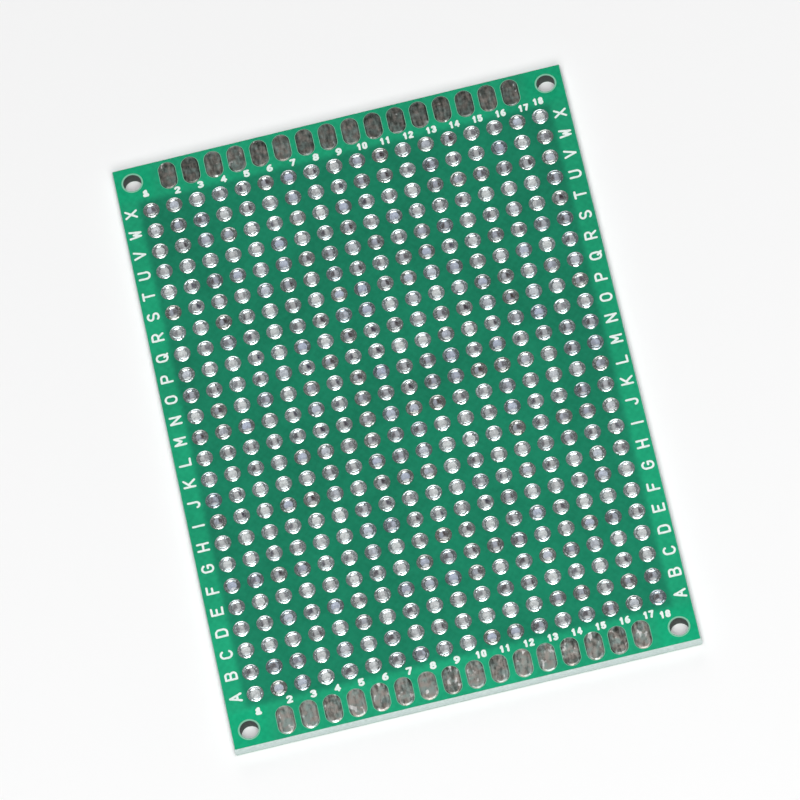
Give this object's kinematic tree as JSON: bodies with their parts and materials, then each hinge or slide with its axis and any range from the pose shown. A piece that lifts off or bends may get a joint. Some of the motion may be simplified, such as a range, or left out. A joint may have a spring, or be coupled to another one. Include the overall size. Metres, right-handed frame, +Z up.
{
  "type": "prototype board",
  "caption": "Bare double-sided prototype board: green-masked laminate with a grid of plated, tinned lead holes, long tinned pads along both short edges and a mounting hole in each corner.",
  "frame": {"origin": "centre of the board's outline, on the plane of its lowest pad crests, which is the plane it rests on", "axes": "+Y along the board's long side from row A to row X, +X along its short side from column 1 to column 18, +Z up out of the top face"},
  "size_m": [0.05, 0.07, 0.0017],
  "materials": {
    "laminate": "sawn glass-fibre laminate, pale and matt",
    "solder_mask": "green solder mask, semi-gloss",
    "tinned_rings": "hot-air levelled tin, bright",
    "tinned_edge_pads": "hot-air levelled tin, dull and grainy",
    "legend": "white screen-printed legend ink"
  },
  "bodies": {
    "root": {"substrate": "laminate", "solder_mask_top": "solder_mask", "solder_mask_bottom": "solder_mask", "pads_row_a": "tinned_rings", "pads_row_b": "tinned_rings", "pads_row_c": "tinned_rings", "pads_row_d": "tinned_rings", "pads_row_e": "tinned_rings", "pads_row_f": "tinned_rings", "pads_row_g": "tinned_rings", "pads_row_h": "tinned_rings", "pads_row_i": "tinned_rings", "pads_row_j": "tinned_rings", "pads_row_k": "tinned_rings", "pads_row_l": "tinned_rings", "pads_row_m": "tinned_rings", "pads_row_n": "tinned_rings", "pads_row_o": "tinned_rings", "pads_row_p": "tinned_rings", "pads_row_q": "tinned_rings", "pads_row_r": "tinned_rings", "pads_row_s": "tinned_rings", "pads_row_t": "tinned_rings", "pads_row_u": "tinned_rings", "pads_row_v": "tinned_rings", "pads_row_w": "tinned_rings", "pads_row_x": "tinned_rings", "edge_pads_front_top": "tinned_edge_pads", "edge_pads_front_bottom": "tinned_edge_pads", "edge_pads_rear_top": "tinned_edge_pads", "edge_pads_rear_bottom": "tinned_edge_pads"}
  },
  "joints": []
}
